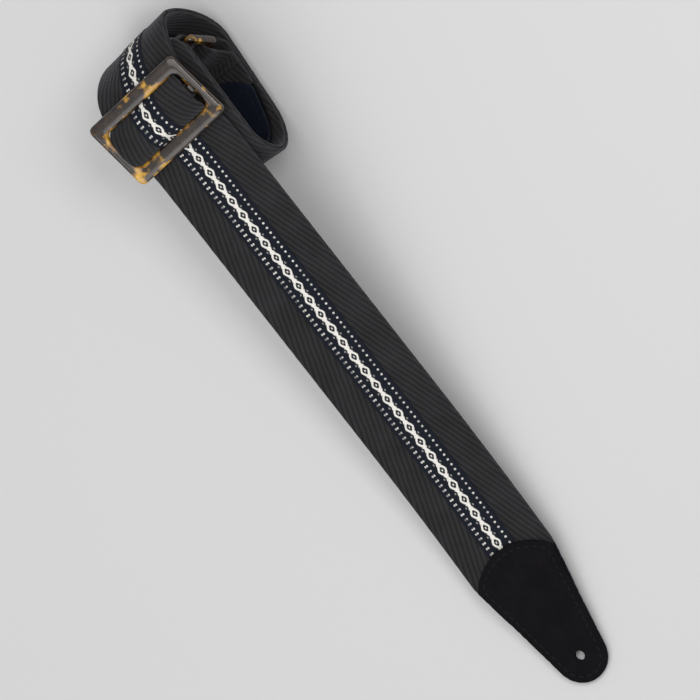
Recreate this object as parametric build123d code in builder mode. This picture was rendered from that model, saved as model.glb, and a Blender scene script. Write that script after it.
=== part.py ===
"""Adjustable guitar strap, laid down with its far half rolled up.

The webbing runs from the front leather tab up to the slider, over the top of the roll and once round inside it.
It turns round a rectangular loop's upper bar and comes back, doubled, to the slider's centre bar.
A short tail webbing starts at the loop's lower bar and ends in the second leather tab, in the roll's core.
X runs along the strap towards the front tab, Y across it and Z up from the surface it lies on.
"""

import os
from math import acos, asin, atan2, cos, degrees, hypot, pi, radians, sin, sqrt, tan

from build123d import *

os.makedirs("parts", exist_ok=True)

# Webbing and ribbon
WEB_W = 50.8  # two-inch webbing
WEB_T = 1.5
RIBBON_W = 17.0
RIBBON_T = 0.5
TOUCH = 0.05  # between layers that are sewn together
LAYER_STEP = 1.9  # centre to centre of two layers that lie on each other

# Straight run, from the roll's left bend down to the front tab
RUN_SLOPE = 9.25  # degrees
RUN_BEND_X = 29.0  # the run starts to flatten here
HINGE_X = 115.5  # the front tab flexes here
HINGE_GAP = 0.2
HINGE_RISE = 1.4  # flexing axis above the webbing's centre
TAB_SLOPE = 5.1  # degrees, of the front tab

# Roll
ROLL_X = -190.3  # outermost layer's left face
ROLL_L = 84.2  # from there to its right face
LEFT_R = 24.0
FLOOR_Z = 2.96  # centre of the lowest layer, whose lower edge touches the floor

# Leather end tabs
LEATHER_T = 1.3
TAB_TIP_R = 14.0  # round tip, centred on the button hole
TAB_SHOULDER = (53.3, 24.2)  # hole to the widest corners, and half the width there
TAB_CROWN = 65.1  # hole to the middle of the curved back edge
HOLE_R = 2.6
WEB_IN_TAB = 26.0  # webbing held between the two leathers, measured from the crown
WEB_TAPER = 10.0  # length over which the leathers close in past that webbing
STITCH_IN = 3.1
STITCH_PITCH = 4.1
STITCH = (2.8, 0.7, 0.3)

# Slider: three bars across, one moulding
SLIDER_AT = (-153.0, -3.5)
SLIDER_YAW = 8.0  # degrees, it sits a little askew
SLIDER_W, SLIDER_L, SLIDER_T = 38.8, 61.6, 4.2
LONG_BAR, SIDE_BAR = 7.95, 5.1
CENTRE_BAR_W, CENTRE_BAR_T = 5.0, 2.5
SLIDER_LIFT = 1.6  # its underside above the webbing's centre
SLIDER_CORNER, WINDOW_CORNER = 3.0, 3.5
FOLD_W = 49.5  # webbing end round the centre bar
FOLD_OUT = (8.1, 5.6)
FOLD_IN = (5.1, 2.6)
CREST_END, CREST_TOP = (10.3, 2.7), (6.6, 8.4)  # webbing over that fold, half of it
CREST_W, CREST_END_W = 49.5, 44.5

# Rectangular loop
LOOP_AT = (ROLL_X + 21.3, 1.5, 23.0)
LOOP_DIP = 62.0  # degrees, its short side leans down towards the front
LOOP_L, LOOP_W, LOOP_T = 60.0, 20.0, 4.0
LOOP_BAR, LOOP_SIDE = 4.5, 3.8
WRAP_R = 4.2  # centre of the webbing that goes round one of its bars

# How the webbing lies: sideways place, tilt and yaw in degrees of the line across it
RUN_LAY = (0.0, 0.0, 0.0)
SLIDER_LAY = (-3.0, 0.0, 0.0)
LEFT_LAY = (0.0, 14.0, -9.0)
BOTTOM_LAY = (6.8, 5.0, -4.0)
RIGHT_LAY = (7.5, 9.0, 0.0)
TOP_LAY = (5.0, 9.0, -5.0)
LOOP_LAY = (-0.9, 10.0, -8.0)
UPPER_TURN_LAY = (0.73, 10.0, -8.0)
LOWER_TURN_LAY = (2.27, 10.0, -8.0)
TAIL_LAY = (4.1, 10.0, -8.0)


def rounded(corners, turn_step=18.0):
    """Stations along a polyline with rounded corners, each x, z, heading and how the webbing lies.

    A corner is x, z, the radius of its bend and how the webbing lies on the leg that follows it.
    """
    legs = []
    for (ax, az, _, lay), (bx, bz, _, _) in zip(corners, corners[1:]):
        legs.append((atan2(bz - az, bx - ax), hypot(bx - ax, bz - az), lay))
    turns = [0.0]
    for (before, _, _), (after, _, _) in zip(legs, legs[1:]):
        turns.append((after - before + pi) % (2 * pi) - pi)
    turns.append(0.0)
    cuts = [abs(corner[2] * tan(turn / 2)) for corner, turn in zip(corners, turns)]
    stations = []
    for i, (heading, length, lay) in enumerate(legs):
        x, z, _, _ = corners[i]
        turn, radius = turns[i + 1], corners[i + 1][2]
        for along in (cuts[i], length - cuts[i + 1]):
            stations.append((x + along * cos(heading), z + along * sin(heading), heading, lay))
        if i + 1 == len(legs):
            break
        side = 1 if turn > 0 else -1
        from_x, from_z = stations[-1][0], stations[-1][1]
        centre_x = from_x - side * radius * sin(heading)
        centre_z = from_z + side * radius * cos(heading)
        steps = max(2, round(abs(degrees(turn)) / turn_step))
        for k in range(1, steps):
            h = heading + turn * k / steps
            share = k / steps
            ease = share * share * (3 - 2 * share)
            eased = tuple(a + (b - a) * ease for a, b in zip(lay, legs[i + 1][2]))
            stations.append((centre_x + side * radius * sin(h), centre_z - side * radius * cos(h), h, eased))
    kept = stations[:1]
    for station in stations[1:]:
        if hypot(station[0] - kept[-1][0], station[1] - kept[-1][1]) > 0.4:
            kept.append(station)
    return kept


def path_length(stations):
    return sum(hypot(b[0] - a[0], b[1] - a[1]) for a, b in zip(stations, stations[1:]))


def station_at(stations, distance):
    """The station at a distance along a path, on the straight stretch between its neighbours."""
    for a, b in zip(stations, stations[1:]):
        step = hypot(b[0] - a[0], b[1] - a[1])
        if distance <= step + 1e-6:
            share = distance / step
            turn = (b[2] - a[2] + pi) % (2 * pi) - pi
            lay = tuple(p + (q - p) * share for p, q in zip(a[3], b[3]))
            return (a[0] + (b[0] - a[0]) * share, a[1] + (b[1] - a[1]) * share, a[2] + turn * share, lay)
        distance -= step
    return stations[-1]


def distances_of(stations):
    distances = [0.0]
    for a, b in zip(stations, stations[1:]):
        distances.append(distances[-1] + hypot(b[0] - a[0], b[1] - a[1]))
    return distances


def across(lay):
    """Unit line across the webbing, from its -Y edge to its +Y edge."""
    _, tilt, yaw = lay
    flat = cos(radians(tilt))
    return Vector(sin(radians(yaw)) * flat, cos(radians(yaw)) * flat, sin(radians(tilt)))


def web_planes(stations, inward=0.0):
    """A plane across the webbing at each station, X along its width and Y to the left of its heading."""
    planes = []
    for x, z, heading, lay in stations:
        width = across(lay)
        ahead = Vector(cos(heading), 0, sin(heading))
        ahead = (ahead - width * ahead.dot(width)).normalized()
        up = ahead.cross(width)
        planes.append(Plane(origin=Vector(x, lay[0], z) + up * inward, x_dir=width, z_dir=ahead))
    return planes


def turned_back(plane):
    """The same section met by webbing that comes the other way."""
    return Plane(origin=plane.origin, x_dir=plane.x_dir, z_dir=plane.z_dir * -1)


def local_stations(origin, heading, corners):
    """Corners given ahead of and to the left of a point, as corners in x and z."""
    x, z = origin
    placed = []
    for ahead, left, radius, lay in corners:
        placed.append((
            x + ahead * cos(heading) - left * sin(heading),
            z + ahead * sin(heading) + left * cos(heading),
            radius,
            lay,
        ))
    return placed


def run_z(x):
    """Height of the webbing's centre on the straight run, its flattening end and the front tab."""
    steep, gentle = tan(radians(RUN_SLOPE)), tan(radians(TAB_SLOPE))
    z = FLOOR_Z + LEFT_R * (1 + 1 / cos(radians(RUN_SLOPE))) - (x - (ROLL_X + LEFT_R)) * steep
    if x > RUN_BEND_X:
        bend = HINGE_X - RUN_BEND_X
        past = min(x, HINGE_X) - RUN_BEND_X
        z += (steep - gentle) * past * past / (2 * bend)
        z += max(0.0, x - HINGE_X) * (steep - gentle)
    return z


def run_heading(x):
    """Downward slope of the run at x, as a heading towards the front tab."""
    steep, gentle = tan(radians(RUN_SLOPE)), tan(radians(TAB_SLOPE))
    share = min(max((x - RUN_BEND_X) / (HINGE_X - RUN_BEND_X), 0.0), 1.0)
    return -atan2(steep + (gentle - steep) * share, 1.0)


def save(part, name):
    part.part.label = name
    export_step(part.part, f"parts/{name}.step")


# Paths of the layers

START_X = ROLL_X + LEFT_R + LEFT_R * sin(radians(RUN_SLOPE))  # where the roll's left bend begins
RIGHT_X = ROLL_X + ROLL_L
LOOP_HEADING = -radians(LOOP_DIP)
BAR_OUT = (LOOP_W - LOOP_BAR) / 2
UPPER_BAR = (LOOP_AT[0] - BAR_OUT * cos(LOOP_HEADING), LOOP_AT[2] - BAR_OUT * sin(LOOP_HEADING))
LOWER_BAR = (LOOP_AT[0] + BAR_OUT * cos(LOOP_HEADING), LOOP_AT[2] + BAR_OUT * sin(LOOP_HEADING))

# The doubled webbing comes down to the upper bar with the bar's centre between its two layers
APPROACH = 7.6
upper_end = local_stations(UPPER_BAR, LOOP_HEADING, [(-APPROACH, -LAYER_STEP / 2, 0.0, LOOP_LAY)])[0]

main_path = rounded([
    (START_X, run_z(START_X), 0.0, SLIDER_LAY),
    (ROLL_X, run_z(ROLL_X), LEFT_R, LEFT_LAY),
    (ROLL_X, FLOOR_Z, LEFT_R, BOTTOM_LAY),
    (RIGHT_X, FLOOR_Z + 1.4, 18.5, RIGHT_LAY),
    (RIGHT_X, 37.3, 16.0, TOP_LAY),
    (ROLL_X + 8.0, 45.7, 6.0, LOOP_LAY),
    upper_end,
])
main_planes = web_planes(main_path)
return_planes = web_planes(main_path, LAYER_STEP)

# Round the upper bar, seen along the heading from the two layers' ends
half = LAYER_STEP / 2
flare = WRAP_R * 1.55
turn_path = rounded(local_stations(UPPER_BAR, LOOP_HEADING, [
    (-APPROACH, -half, 0.0, LOOP_LAY),
    (WRAP_R, -flare, WRAP_R, UPPER_TURN_LAY),
    (WRAP_R, flare, WRAP_R, LOOP_LAY),
    (-APPROACH, half, 0.0, LOOP_LAY),
]))
turn_planes = [main_planes[-1]] + web_planes(turn_path)[1:-1] + [turned_back(return_planes[-1])]

# The run, from where the roll begins to the front tab
run_planes = []
for x, y in [(START_X, SLIDER_LAY[0]), (-140.0, -2.4), (-121.0, 0.0), (RUN_BEND_X, 0.0)]:
    run_planes += web_planes([(x, run_z(x), run_heading(x), (y, 0.0, 0.0))])
for k in range(1, 7):
    x = RUN_BEND_X + (HINGE_X - HINGE_GAP - RUN_BEND_X) * k / 6
    run_planes += web_planes([(x, run_z(x), run_heading(x), RUN_LAY)])

# The doubled end under the run, from the slider's middle to the roll
under_planes = []
for x in (SLIDER_AT[0], START_X + 5.0):
    station = (x, run_z(x), run_heading(x) + pi, SLIDER_LAY)
    under_planes += web_planes([station], LAYER_STEP)

# The tail: its folded end, round the lower bar, once round the roll and into the rear tab
tail_path = rounded([
    (ROLL_X + 38.3, 10.55, 0.0, BOTTOM_LAY),
    (ROLL_X + 31.5, 10.4, 3.0, TAIL_LAY),
    *local_stations(LOWER_BAR, LOOP_HEADING, [
        (-WRAP_R, WRAP_R, WRAP_R - 0.4, LOWER_TURN_LAY),
        (-WRAP_R, -WRAP_R, WRAP_R, TAIL_LAY),
    ]),
    (ROLL_X + 24.4, FLOOR_Z + 5.43, 5.0, BOTTOM_LAY),
    (ROLL_X + 39.1, 8.8, 0.0, BOTTOM_LAY),
])
rear_path = rounded([
    (ROLL_X + 39.1, 8.8, 0.0, BOTTOM_LAY),
    (ROLL_X + 51.0, 9.6, 30.0, BOTTOM_LAY),
    (RIGHT_X - 6.4, 10.5, 13.0, RIGHT_LAY),
    (RIGHT_X - 6.4, 31.6, 9.5, TOP_LAY),
    (ROLL_X + 49.1, 34.6, 0.0, TOP_LAY),
])


def section_loft(sections, hole_at=None):
    """A solid through rectangles, each given as plane, width, thickness and lift off the plane's middle."""
    with BuildPart() as piece:
        for plane, width, thickness, lift in sections:
            origin = plane.origin + plane.y_dir * lift
            with BuildSketch(Plane(origin=origin, x_dir=plane.x_dir, z_dir=plane.z_dir)):
                Rectangle(width, thickness)
        loft(ruled=True)
        if hole_at is not None:
            with BuildSketch(Plane(origin=hole_at.origin, x_dir=hole_at.x_dir, z_dir=hole_at.y_dir)):
                Circle(HOLE_R)
            extrude(amount=6.0, both=True, mode=Mode.SUBTRACT)
    return piece


def webbing(planes):
    return section_loft([(plane, WEB_W, WEB_T, 0.0) for plane in planes])


def ribbon(planes, side):
    """Ribbon on the left (1) or right (-1) of the webbing's heading."""
    lift = side * (WEB_T / 2 + TOUCH + RIBBON_T / 2)
    return section_loft([(plane, RIBBON_W, RIBBON_T, lift) for plane in planes])


# Webbing and its ribbon, which is on the run's upper side and so on the roll's outer side

tail_planes = web_planes(tail_path)
save(webbing(run_planes), "main_webbing_run")
save(webbing(main_planes), "main_webbing_roll")
save(webbing(turn_planes), "loop_turn_webbing")
save(webbing(under_planes + return_planes), "return_webbing")
save(webbing(tail_planes), "tail_webbing")
save(ribbon(run_planes, 1), "pattern_ribbon_run")
save(ribbon(main_planes, -1), "pattern_ribbon_roll")
save(ribbon(turn_planes[:-1], -1), "pattern_ribbon_loop_turn")
save(ribbon(under_planes + return_planes, 1), "pattern_ribbon_return")
save(ribbon(tail_planes, -1), "pattern_ribbon_tail")

# Slider: frame, folded webbing end round its centre bar, and the webbing that rises over that

run_down = radians(RUN_SLOPE)
slider_base = Plane(
    origin=(SLIDER_AT[0], SLIDER_AT[1], run_z(SLIDER_AT[0])),
    x_dir=(cos(run_down), 0, -sin(run_down)),
    z_dir=(sin(run_down), 0, cos(run_down)),
)
slider_plane = slider_base.rotated((0, 0, SLIDER_YAW))
slider_side = Plane(origin=slider_plane.origin, x_dir=slider_plane.x_dir, z_dir=slider_plane.y_dir * -1)
slider_up = Axis(slider_plane.origin, slider_plane.z_dir)

with BuildPart() as slider_frame:
    with BuildSketch(slider_plane.offset(SLIDER_LIFT)):
        RectangleRounded(SLIDER_W, SLIDER_L, SLIDER_CORNER)
        window = (SLIDER_W - 2 * LONG_BAR, SLIDER_L - 2 * SIDE_BAR)
        RectangleRounded(*window, WINDOW_CORNER, mode=Mode.SUBTRACT)
    extrude(amount=SLIDER_T)
    rims = slider_frame.edges().group_by(slider_up)
    fillet(rims[0] + rims[-1], 0.9)
    with BuildSketch(slider_plane.offset(SLIDER_LIFT + SLIDER_T - CENTRE_BAR_T)):
        Rectangle(CENTRE_BAR_W, SLIDER_L - SIDE_BAR)
    extrude(amount=CENTRE_BAR_T)
save(slider_frame, "slider_frame")

fold_z = SLIDER_LIFT + SLIDER_T - CENTRE_BAR_T / 2
with BuildPart() as slider_end_fold:
    with BuildSketch(slider_side):
        with Locations((0, fold_z)):
            RectangleRounded(*FOLD_OUT, 2.0)
            Rectangle(*FOLD_IN, mode=Mode.SUBTRACT)
    extrude(amount=FOLD_W / 2, both=True)
save(slider_end_fold, "slider_end_fold")

crest_corners = [
    (-CREST_END[0], CREST_END[1], 0.0, RUN_LAY),
    (-CREST_TOP[0], CREST_TOP[1], 3.5, RUN_LAY),
    (CREST_TOP[0], CREST_TOP[1], 3.5, RUN_LAY),
    (CREST_END[0], CREST_END[1], 0.0, RUN_LAY),
]
crest_sections, crest_ribbon = [], []
for x, z, heading, _ in rounded(crest_corners):
    plane = Plane(
        origin=slider_plane.origin + slider_plane.x_dir * x + slider_plane.z_dir * z,
        x_dir=slider_plane.y_dir,
        z_dir=slider_plane.x_dir * cos(heading) + slider_plane.z_dir * sin(heading),
    )
    rise = min(max((z - CREST_END[1]) / 4.0, 0.0), 1.0)
    crest_sections.append((plane, CREST_END_W + (CREST_W - CREST_END_W) * rise, WEB_T, 0.0))
    crest_ribbon.append(plane)
save(section_loft(crest_sections), "webbing_crest")
save(ribbon(crest_ribbon[1:-1], 1), "pattern_ribbon_crest")

# Rectangular loop, hooked between the doubled webbing and the tail

loop_width = across(LOOP_LAY)
loop_down = Vector(cos(LOOP_HEADING), 0, sin(LOOP_HEADING))
loop_down = (loop_down - loop_width * loop_down.dot(loop_width)).normalized()
loop_plane = Plane(
    origin=LOOP_AT,
    x_dir=loop_down,
    z_dir=loop_down.cross(loop_width),
)
with BuildPart() as rectangular_loop:
    with BuildSketch(loop_plane):
        RectangleRounded(LOOP_W, LOOP_L, 3.0)
        RectangleRounded(LOOP_W - 2 * LOOP_BAR, LOOP_L - 2 * LOOP_SIDE, 1.5, mode=Mode.SUBTRACT)
    extrude(amount=LOOP_T / 2, both=True)
    rims = rectangular_loop.edges().group_by(Axis(loop_plane.origin, loop_plane.z_dir))
    fillet(rims[0] + rims[-1], 1.1)
save(rectangular_loop, "rectangular_loop")

# Front tab: two leathers with the webbing's end between them

tab_plane = Plane(
    origin=(HINGE_X, 0, run_z(HINGE_X)),
    x_dir=(cos(radians(TAB_SLOPE)), 0, -sin(radians(TAB_SLOPE))),
    z_dir=(sin(radians(TAB_SLOPE)), 0, cos(radians(TAB_SLOPE))),
)
tab_side = Plane(origin=tab_plane.origin, x_dir=tab_plane.x_dir, z_dir=tab_plane.y_dir * -1)
CROWN = 0.5  # hinge to the leather's curved back edge
HOLE = CROWN + TAB_CROWN
TIP = HOLE + TAB_TIP_R
WEB_END = CROWN + WEB_IN_TAB
LOW, HIGH = TOUCH / 2, WEB_T / 2 + TOUCH  # leather's inner side past the webbing, and over it
shoulder_x, shoulder_y = HOLE - TAB_SHOULDER[0], TAB_SHOULDER[1]
shoulder_angle = atan2(TAB_SHOULDER[1], -TAB_SHOULDER[0])
shoulder_away = hypot(*TAB_SHOULDER)
tangent = shoulder_angle - acos(TAB_TIP_R / shoulder_away)
tangent_x, tangent_y = HOLE + TAB_TIP_R * cos(tangent), TAB_TIP_R * sin(tangent)


def leather_inside(x):
    """Height of the leather's inner side at a distance from the hinge."""
    share = min(max((x - WEB_END - 0.5) / WEB_TAPER, 0.0), 1.0)
    return HIGH + (LOW - HIGH) * share


def tab_leather(side):
    with BuildPart() as leather:
        with BuildSketch(tab_side):
            stops = (CROWN, WEB_END + 0.5, WEB_END + 0.5 + WEB_TAPER, TIP)
            inner = [(x, side * leather_inside(x)) for x in stops]
            outer = [(x, side * (leather_inside(x) + LEATHER_T)) for x in reversed(stops)]
            Polygon(*inner, *outer, align=None)
        extrude(amount=30.0, both=True)
        with BuildSketch(tab_plane):
            with BuildLine():
                Line((shoulder_x, shoulder_y), (tangent_x, tangent_y))
                ThreePointArc((tangent_x, tangent_y), (TIP, 0), (tangent_x, -tangent_y))
                Line((tangent_x, -tangent_y), (shoulder_x, -shoulder_y))
                ThreePointArc((shoulder_x, -shoulder_y), (CROWN, 0), (shoulder_x, shoulder_y))
            make_face()
        extrude(amount=8.0, both=True, mode=Mode.INTERSECT)
        with BuildSketch(tab_plane):
            with Locations((HOLE, 0)):
                Circle(HOLE_R)
        extrude(amount=8.0, both=True, mode=Mode.SUBTRACT)
    return leather


save(tab_leather(1), "front_tab_face")
save(tab_leather(-1), "front_tab_backing")

with BuildPart() as front_tab_webbing_end:
    with BuildSketch(tab_plane.offset(-WEB_T / 2)):
        Polygon(
            (HINGE_GAP, -WEB_W / 2), (shoulder_x - 0.5, -WEB_W / 2), (shoulder_x + 3.0, -20.0), (WEB_END, -18.0),
            (WEB_END, 18.0), (shoulder_x + 3.0, 20.0), (shoulder_x - 0.5, WEB_W / 2), (HINGE_GAP, WEB_W / 2),
            align=None,
        )
    extrude(amount=WEB_T)
save(front_tab_webbing_end, "front_tab_webbing_end")


def stitch_spots():
    """Place and direction of each stitch in a line inside the tab's outline, from its hinge."""
    spots = []
    inset_r = TAB_TIP_R - STITCH_IN
    side_angle = atan2(shoulder_y - tangent_y, shoulder_x - tangent_x)
    side_length = hypot(shoulder_x - tangent_x, shoulder_y - tangent_y) - 3.6
    count = round(side_length / STITCH_PITCH)
    for k in range(count + 1):
        along = side_length * k / count
        x = tangent_x - STITCH_IN * cos(tangent) + along * cos(side_angle)
        y = tangent_y - STITCH_IN * sin(tangent) + along * sin(side_angle)
        spots += [(x, y, degrees(side_angle)), (x, -y, -degrees(side_angle))]
    turns = round(2 * tangent * inset_r / STITCH_PITCH)
    for k in range(1, turns):
        angle = tangent - 2 * tangent * k / turns
        spots.append((HOLE + inset_r * cos(angle), inset_r * sin(angle), degrees(angle) + 90))
    back = TAB_CROWN - TAB_SHOULDER[0]
    crown_r = (shoulder_y**2 + back**2) / (2 * back)
    crown_in = crown_r - STITCH_IN
    spread = asin((shoulder_y - 5.2) / crown_in)
    count = round(2 * spread * crown_in / STITCH_PITCH)
    for k in range(count + 1):
        angle = spread - 2 * spread * k / count
        x = CROWN + crown_r - crown_in * cos(angle)
        spots.append((x, crown_in * sin(angle), 90 - degrees(angle)))
    return spots


with BuildPart() as front_tab_stitching:
    for x, y, angle in stitch_spots():
        top = max(leather_inside(x - 1.5), leather_inside(x + 1.5)) + LEATHER_T
        with Locations(tab_plane.location * Location((x, y, top + STITCH[2] / 2 + 0.01), (0, 0, angle))):
            Box(*STITCH)
save(front_tab_stitching, "front_tab_stitching")

# Rear tab, the same leathers bent round the inside of the roll

rear_total = path_length(rear_path)
rear_start = rear_total - TIP - 0.2
back = TAB_CROWN - TAB_SHOULDER[0]
crown_r = (shoulder_y**2 + back**2) / (2 * back)


def tab_half_width(x):
    """Half the tab's width at a distance from the hinge line, along the leather."""
    if x < shoulder_x:
        return sqrt(max(crown_r**2 - (crown_r - x + CROWN) ** 2, 4.0))
    if x < tangent_x:
        return shoulder_y + (tangent_y - shoulder_y) * (x - shoulder_x) / (tangent_x - shoulder_x)
    return sqrt(max(TAB_TIP_R**2 - (x - HOLE) ** 2, 4.0))


def rear_plane(x):
    return web_planes([station_at(rear_path, rear_start + x)])[0]


bends = [d - rear_start for d in distances_of(rear_path)]
marks = [CROWN, CROWN + 1.5, CROWN + 4.0, CROWN + 8.0, shoulder_x, WEB_END + 0.5, WEB_END + 0.5 + WEB_TAPER]
marks += [tangent_x, HOLE + 8.0, HOLE + 12.0, TIP - 0.2]
rear_stops = sorted(marks + [b for b in bends if CROWN < b < TIP and min(abs(b - m) for m in marks) > 0.5])


def rear_leather(side):
    sections = []
    for x in rear_stops:
        lift = side * (leather_inside(x) + LEATHER_T / 2)
        sections.append((rear_plane(x), 2 * tab_half_width(x), LEATHER_T, lift))
    return section_loft(sections, rear_plane(HOLE))


save(rear_leather(-1), "rear_tab_face")
save(rear_leather(1), "rear_tab_backing")

rear_web = []
for x in [0.0] + [stop for stop in rear_stops if stop < WEB_END] + [WEB_END]:
    width = WEB_W if x < shoulder_x - 0.5 else 38.0
    rear_web.append((rear_plane(x), width, WEB_T, 0.0))
save(section_loft(rear_web), "rear_tab_webbing_end")

with BuildPart() as rear_tab_stitching:
    for x, y, angle in stitch_spots():
        at = rear_plane(x)
        lift = max(leather_inside(x - 1.5), leather_inside(x + 1.5)) + LEATHER_T + STITCH[2] / 2 + 0.42
        along = at.z_dir * cos(radians(angle)) + at.x_dir * sin(radians(angle))
        spot = Plane(origin=at.origin + at.x_dir * y + at.y_dir * lift, x_dir=along, z_dir=at.y_dir)
        with Locations(spot.location):
            Box(*STITCH)
save(rear_tab_stitching, "rear_tab_stitching")

# Rows of stitches that close the two folded webbing ends


def stitch_row(at, side, clear_middle):
    """Stitches across the webbing at a section, on its left (1) or right (-1) side."""
    with BuildPart() as row:
        count = round((WEB_W - 6.0) / STITCH_PITCH)
        for k in range(count + 1):
            y = (k / count - 0.5) * (WEB_W - 6.0)
            if abs(y) < clear_middle:
                continue
            origin = at.origin + at.x_dir * y + at.y_dir * side * (WEB_T / 2 + STITCH[2] / 2 + 0.02)
            with Locations(Plane(origin=origin, x_dir=at.x_dir, z_dir=at.y_dir).location):
                Box(*STITCH)
    return row


FOLD_SEAM = 3.0  # from the folded end to its row of stitches
tail_seam = web_planes([station_at(tail_path, FOLD_SEAM)])[0]
save(stitch_row(tail_seam, -1, RIBBON_W / 2 + 2.0), "tail_fold_stitching")
seam_x = SLIDER_AT[0] - FOLD_SEAM
seam_at = web_planes([(seam_x, run_z(seam_x), run_heading(seam_x) + pi, SLIDER_LAY)], LAYER_STEP)[0]
save(stitch_row(seam_at, 1, RIBBON_W / 2 + 2.0), "return_fold_stitching")
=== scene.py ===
"""Guitar strap: patterned webbing, tortoiseshell slider and loop, two leather tabs, far half rolled."""

from math import acos, asin, atan2, cos, degrees, exp, hypot, pi, radians, sin, sqrt, tan

import bmesh
import bpy
from mathutils import Matrix, Vector, noise


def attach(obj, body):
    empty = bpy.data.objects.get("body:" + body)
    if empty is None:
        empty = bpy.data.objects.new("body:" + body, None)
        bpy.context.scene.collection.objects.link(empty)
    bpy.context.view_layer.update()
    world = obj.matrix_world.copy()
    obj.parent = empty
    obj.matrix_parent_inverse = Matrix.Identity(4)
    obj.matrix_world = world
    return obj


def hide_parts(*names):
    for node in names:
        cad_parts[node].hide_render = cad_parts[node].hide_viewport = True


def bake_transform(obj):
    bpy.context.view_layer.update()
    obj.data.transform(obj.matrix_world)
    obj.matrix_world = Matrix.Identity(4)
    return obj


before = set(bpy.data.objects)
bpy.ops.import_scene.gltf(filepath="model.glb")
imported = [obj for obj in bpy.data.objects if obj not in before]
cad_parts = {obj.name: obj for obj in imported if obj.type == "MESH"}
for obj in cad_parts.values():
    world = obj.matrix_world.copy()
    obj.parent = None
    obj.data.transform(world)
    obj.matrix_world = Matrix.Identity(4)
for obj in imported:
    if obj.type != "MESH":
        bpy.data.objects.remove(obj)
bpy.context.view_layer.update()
scene = bpy.context.scene
MM = 0.001

# ---------------------------------------------------------------- dimensions, as in the CAD, in mm
WEB_W, WEB_T = 50.8, 1.5
RIBBON_W, RIBBON_T = 17.0, 0.42
LAYER_STEP = 1.9
RUN_SLOPE, RUN_BEND_X, HINGE_X, TAB_SLOPE = 9.25, 29.0, 115.5, 5.1
ROLL_X, ROLL_L, LEFT_R, FLOOR_Z = -190.3, 84.2, 24.0, 2.96
LEATHER_T = 1.3
TAB_TIP_R, TAB_SHOULDER, TAB_CROWN, HOLE_R = 14.0, (53.3, 24.2), 65.1, 2.6
WEB_IN_TAB, WEB_TAPER = 26.0, 10.0
NARROW_FROM, NARROW_W = 11.8, 40.0
STITCH_IN, STITCH_PITCH = 3.1, 4.1
SLIDER_AT, SLIDER_YAW = (-153.0, -3.5), 8.0
SLIDER_W, SLIDER_L, SLIDER_T, SLIDER_LIFT = 38.8, 61.6, 4.2, 1.6
LONG_BAR, SIDE_BAR = 7.95, 5.1
LOOP_AT, LOOP_DIP = (ROLL_X + 21.3, 1.5, 23.0), 62.0
LOOP_L, LOOP_W, LOOP_T, LOOP_BAR, LOOP_SIDE = 60.0, 20.0, 4.0, 4.5, 3.8
WRAP_R = 4.2
# A lay is the webbing's sideways place in mm, its tilt and its turn in degrees
SLIDER_LAY = (-3.0, 0.0, 0.0)
LEFT_LAY = (0.0, 14.0, -9.0)
BOTTOM_LAY = (6.8, 5.0, -4.0)
RIGHT_LAY = (7.5, 9.0, 0.0)
TOP_LAY = (5.0, 9.0, -5.0)
LOOP_LAY = (-0.9, 10.0, -8.0)
UPPER_TURN_LAY = (0.73, 10.0, -8.0)
LOWER_TURN_LAY = (2.27, 10.0, -8.0)
TAIL_LAY = (4.1, 10.0, -8.0)
# Spacing of the stations that the meshes are swept through
RUN_STEP, REAR_STEP, LEAST_STEP = 2.5, 1.5, 0.25


# ---------------------------------------------------------------- paths
def ease(share):
    """From 0 to 1, slowly at both ends."""
    share = min(max(share, 0.0), 1.0)
    return share * share * (3 - 2 * share)


def blended(before, after, share):
    return tuple(p + (q - p) * share for p, q in zip(before, after))


def rounded(corners, turn_step=4.0, step=2.5):
    """Closely spaced x, z, heading, lay along a polyline with rounded corners."""
    legs = []
    for (ax, az, _, lay), (bx, bz, _, _) in zip(corners, corners[1:]):
        legs.append((atan2(bz - az, bx - ax), hypot(bx - ax, bz - az), lay))
    turns = [0.0]
    for (before, _, _), (after, _, _) in zip(legs, legs[1:]):
        turns.append((after - before + pi) % (2 * pi) - pi)
    turns.append(0.0)
    cuts = [abs(corner[2] * tan(turn / 2)) for corner, turn in zip(corners, turns)]
    out = []
    for i, (heading, length, lay) in enumerate(legs):
        x, z, _, _ = corners[i]
        turn, radius = turns[i + 1], corners[i + 1][2]
        a, b = cuts[i], length - cuts[i + 1]
        n = max(1, round((b - a) / step))
        for k in range(n + 1):
            along = a + (b - a) * k / n
            out.append((x + along * cos(heading), z + along * sin(heading), heading, lay))
        if i + 1 == len(legs):
            break
        side = 1 if turn > 0 else -1
        fx, fz = out[-1][0], out[-1][1]
        cx, cz = fx - side * radius * sin(heading), fz + side * radius * cos(heading)
        steps = max(2, round(abs(degrees(turn)) / turn_step))
        for k in range(1, steps):
            h = heading + turn * k / steps
            lay_here = blended(lay, legs[i + 1][2], ease(k / steps))
            out.append((cx + side * radius * sin(h), cz - side * radius * cos(h), h, lay_here))
    kept = out[:1]
    for station in out[1:]:
        if hypot(station[0] - kept[-1][0], station[1] - kept[-1][1]) > LEAST_STEP:
            kept.append(station)
    return kept


def run_z(x):
    """Height of the run's middle: straight down from the roll, then gentler towards the front tab."""
    steep, gentle = tan(radians(RUN_SLOPE)), tan(radians(TAB_SLOPE))
    z = FLOOR_Z + LEFT_R * (1 + 1 / cos(radians(RUN_SLOPE))) - (x - (ROLL_X + LEFT_R)) * steep
    if x > RUN_BEND_X:
        past = min(x, HINGE_X) - RUN_BEND_X
        z += (steep - gentle) * past * past / (2 * (HINGE_X - RUN_BEND_X))
        z += max(0.0, x - HINGE_X) * (steep - gentle)
    return z


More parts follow.
